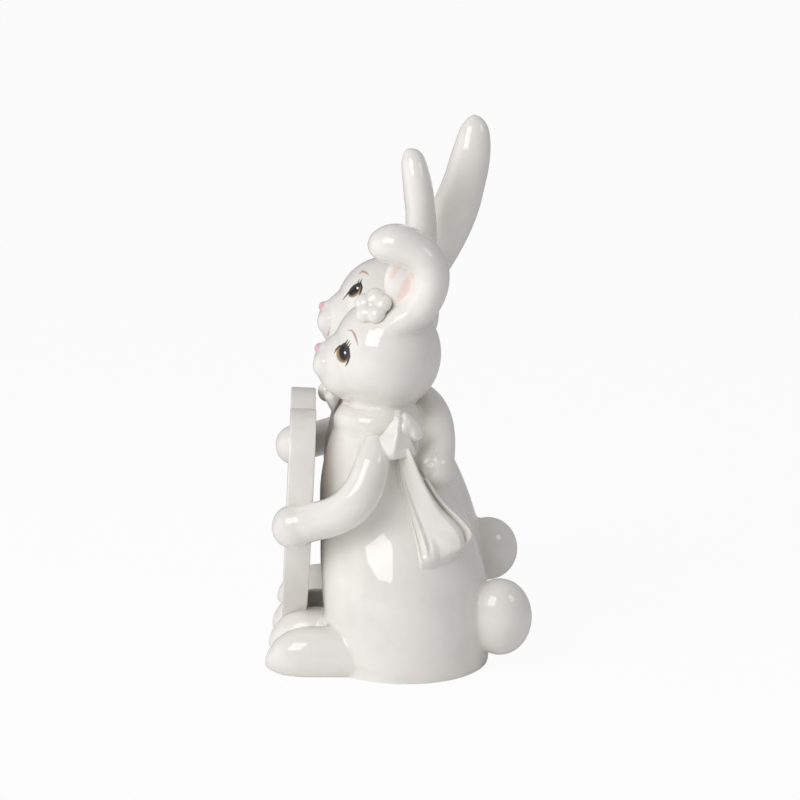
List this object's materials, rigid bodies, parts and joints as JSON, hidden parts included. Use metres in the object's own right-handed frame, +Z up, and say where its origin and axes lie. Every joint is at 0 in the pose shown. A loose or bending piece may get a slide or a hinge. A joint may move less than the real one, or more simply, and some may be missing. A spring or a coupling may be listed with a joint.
{
  "type": "ceramic figurine",
  "caption": "White glazed ceramic figurine of a rabbit couple standing side by side behind a plain upright heart.",
  "frame": {"origin": "on the ground, midway between the two bodies, on the plane where they meet", "axes": "+Z up, -Y is the front that both faces and the heart look to, +X towards the doe, the one with the scarf"},
  "size_m": [0.1248, 0.1084, 0.2202],
  "materials": {
    "glaze": "glossy white glaze"
  },
  "bodies": {
    "root": {"doe_body": "glaze", "buck_body": "glaze", "heart": "glaze", "doe_head": "glaze", "buck_head": "glaze", "doe_ear_left": "glaze", "doe_ear_right": "glaze", "buck_ear_left": "glaze", "buck_ear_right": "glaze", "doe_arm_left": "glaze", "buck_arm_right": "glaze", "buck_arm_left": "glaze", "doe_arm_right": "glaze", "doe_foot_left": "glaze", "doe_foot_right": "glaze", "buck_foot_left": "glaze", "buck_foot_right": "glaze", "doe_tail": "glaze", "buck_tail": "glaze", "scarf_band": "glaze", "scarf_knot": "glaze", "scarf_loop_front": "glaze", "scarf_loop_rear": "glaze", "scarf_tail_front": "glaze", "scarf_tail_rear": "glaze", "tie_knot": "glaze", "tie_loop_left": "glaze", "tie_loop_right": "glaze", "flower_petals": "glaze", "flower_button": "glaze"}
  },
  "joints": []
}
